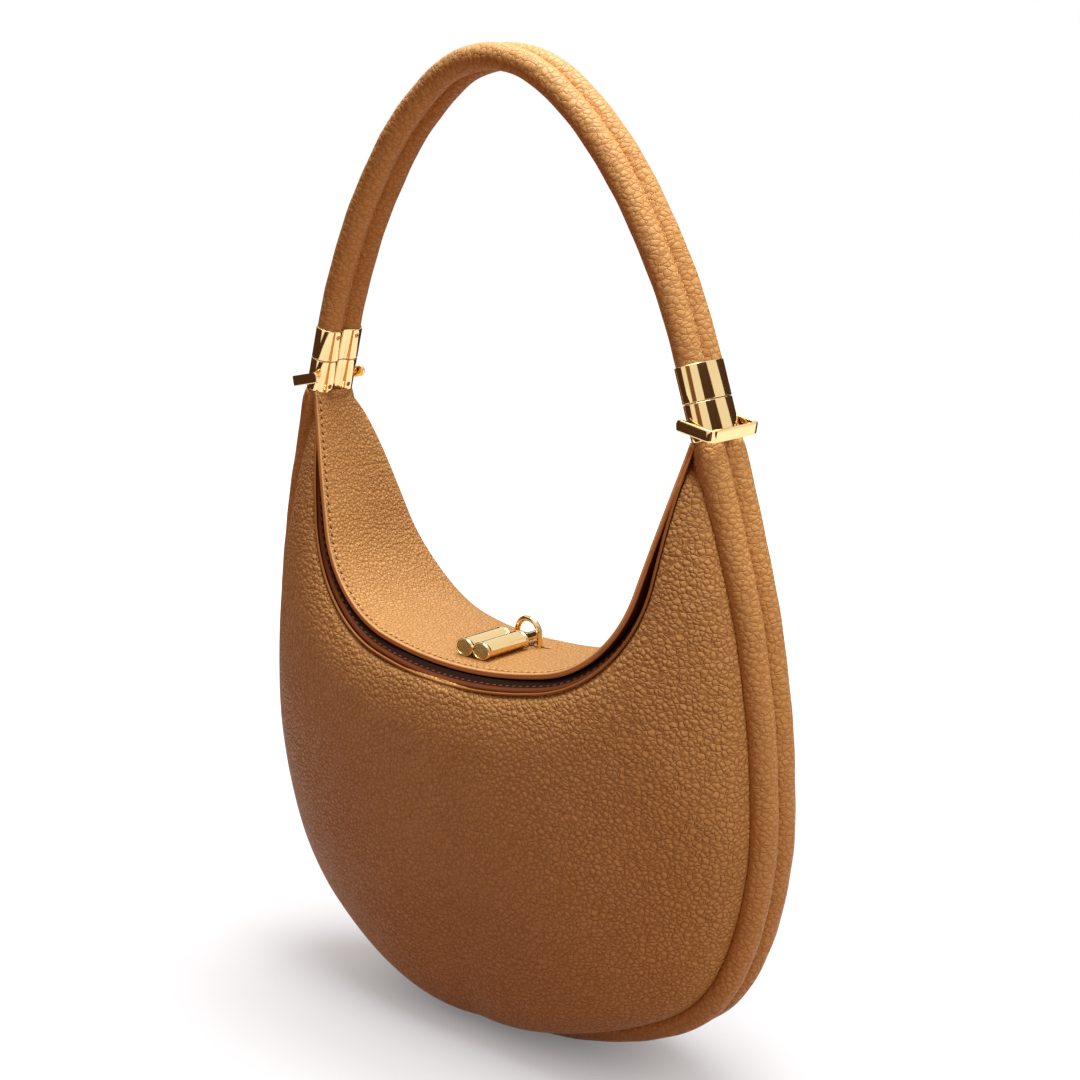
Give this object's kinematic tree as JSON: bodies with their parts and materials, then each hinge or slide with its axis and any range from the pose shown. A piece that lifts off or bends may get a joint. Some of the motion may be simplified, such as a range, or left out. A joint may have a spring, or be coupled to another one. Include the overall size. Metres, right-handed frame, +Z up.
{
  "type": "half moon shoulder bag",
  "caption": "Crescent-shaped leather shoulder bag with a padded double-tube handle, metal collars with swing rings, and a saddle flap closed by a staple and toggle.",
  "frame": {"origin": "on the base plane, under the middle of the bag", "axes": "+Z up towards the handle, the front panel faces -Y, +X to the right seen from the front"},
  "size_m": [0.3, 0.0794, 0.4415],
  "materials": {
    "tan_leather": "pebbled full-grain, satin",
    "lining": "smooth brown backing",
    "filler": "soft filler cord",
    "gold_hardware": "polished, gold coloured"
  },
  "bodies": {
    "bag": {"front_panel": "tan_leather", "back_panel": "tan_leather", "front_rim_band": "tan_leather", "front_facing": "tan_leather", "gusset_strip": "tan_leather", "front_roll": "tan_leather", "back_roll": "tan_leather", "left_flap_wing": "tan_leather", "right_flap_wing": "tan_leather", "handle_front_tube": "tan_leather", "handle_back_tube": "tan_leather", "front_lining": "lining", "back_lining": "lining", "left_flap_wing_lining": "lining", "right_flap_wing_lining": "lining", "front_roll_core": "filler", "back_roll_core": "filler", "handle_front_core": "filler", "handle_back_core": "filler", "left_upper_collar": "gold_hardware", "left_lower_collar": "gold_hardware", "right_upper_collar": "gold_hardware", "right_lower_collar": "gold_hardware", "left_collar_screws": "gold_hardware", "right_collar_screws": "gold_hardware", "left_ring_pins": "gold_hardware", "right_ring_pins": "gold_hardware"},
    "flap": {"flap": "tan_leather", "flap_lining": "lining", "lock_staple": "gold_hardware", "lock_back_plate": "gold_hardware"},
    "toggle": {"toggle_barrels": "gold_hardware", "toggle_end_caps": "gold_hardware", "toggle_neck_pin": "gold_hardware"},
    "left_ring": {"left_ring": "gold_hardware"},
    "right_ring": {"right_ring": "gold_hardware"}
  },
  "joints": [
    {"name": "flap_fold", "type": "hinge", "parent": "bag", "child": "flap", "pos_m": [0, 0.0375, 0.1741], "axis": [-1, 0, 0], "range_deg": [0, 70]},
    {"name": "toggle_slide", "type": "slide", "parent": "flap", "child": "toggle", "axis": [0, -1, 0], "range_m": [0, 0.012]},
    {"name": "left_ring_swing", "type": "hinge", "parent": "bag", "child": "left_ring", "pos_m": [-0.11356, 0, 0.28969], "axis": [0, -1, 0], "range_deg": [-62, 8]},
    {"name": "right_ring_swing", "type": "hinge", "parent": "bag", "child": "right_ring", "pos_m": [0.11356, 0, 0.28969], "axis": [0, -1, 0], "range_deg": [-8, 62]}
  ]
}
